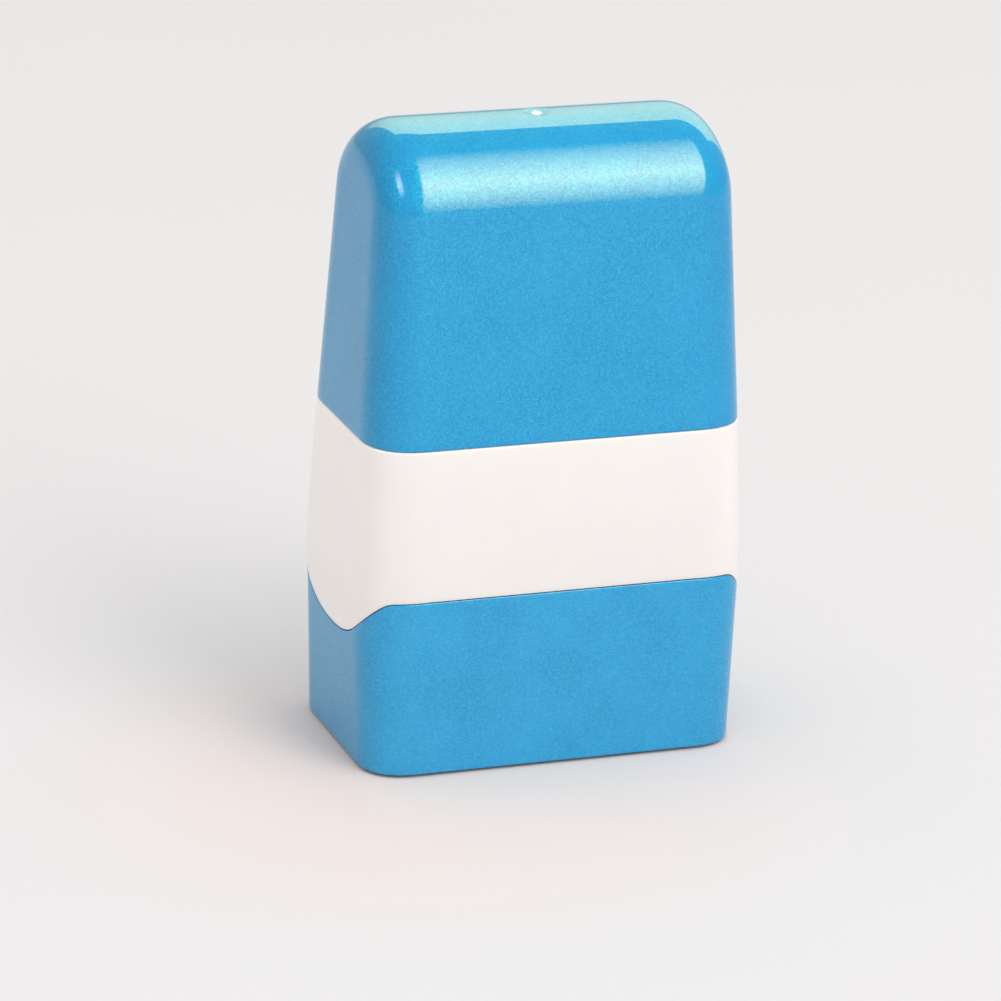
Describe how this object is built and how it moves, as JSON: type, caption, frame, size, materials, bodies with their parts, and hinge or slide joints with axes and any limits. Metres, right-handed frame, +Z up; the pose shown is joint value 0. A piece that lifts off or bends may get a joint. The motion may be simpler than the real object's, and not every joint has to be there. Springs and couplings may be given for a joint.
{
  "type": "identity protection stamp",
  "caption": "Hand-held roller stamp with a blue shell and pull-off cap, a white grip band, and a rubber drum that a foam roller inks, for blotting out printed addresses.",
  "frame": {"origin": "middle of the cap's flat underside", "axes": "+Z up along the handle, +X along the long side, +Y from the front face to the back"},
  "size_m": [0.0458, 0.0278, 0.0727],
  "materials": {
    "pearl_blue": "pearlescent gloss moulding",
    "ivory_white": "smooth gloss moulding",
    "black_plastic": "fine matt moulding",
    "grey_plastic": "plain moulding",
    "stamp_rubber": "inked moulded rubber",
    "ink_foam": "ink-soaked foam",
    "steel": "drawn wire and sprung strip"
  },
  "bodies": {
    "handle": {"grip_frame": "ivory_white", "upper_shell": "pearl_blue"},
    "cartridge": {"cartridge_housing": "black_plastic", "cartridge_lid": "black_plastic", "drum_axle": "steel", "drum_clip_left": "steel", "drum_clip_right": "steel", "ink_axle": "steel", "ink_clip_left": "steel", "ink_clip_right": "steel"},
    "cap": {"end_cap": "pearl_blue"},
    "drum": {"drum_core": "grey_plastic", "drum_bush_left": "ivory_white", "drum_bush_right": "ivory_white", "traction_ring_left": "stamp_rubber", "traction_ring_right": "stamp_rubber", "stamp_sleeve": "stamp_rubber"},
    "ink_roller": {"ink_spool": "grey_plastic", "ink_foam": "ink_foam"}
  },
  "joints": [
    {"name": "cartridge_slide", "type": "slide", "parent": "handle", "child": "cartridge", "axis": [0, 0, -1], "range_m": [0, 0.03]},
    {"name": "cap_slide", "type": "slide", "parent": "cartridge", "child": "cap", "axis": [0, 0, -1], "range_m": [0, 0.024]},
    {"name": "drum_spin", "type": "hinge", "parent": "cartridge", "child": "drum", "pos_m": [0, 0, 0.0163], "axis": [1, 0, 0], "continuous": true},
    {"name": "ink_spin", "type": "hinge", "parent": "cartridge", "child": "ink_roller", "pos_m": [0, 0, 0.0298], "axis": [1, 0, 0], "continuous": true}
  ],
  "couplings": [
    {"joint": "ink_spin", "follows": "drum_spin", "ratio": -1.5385}
  ]
}
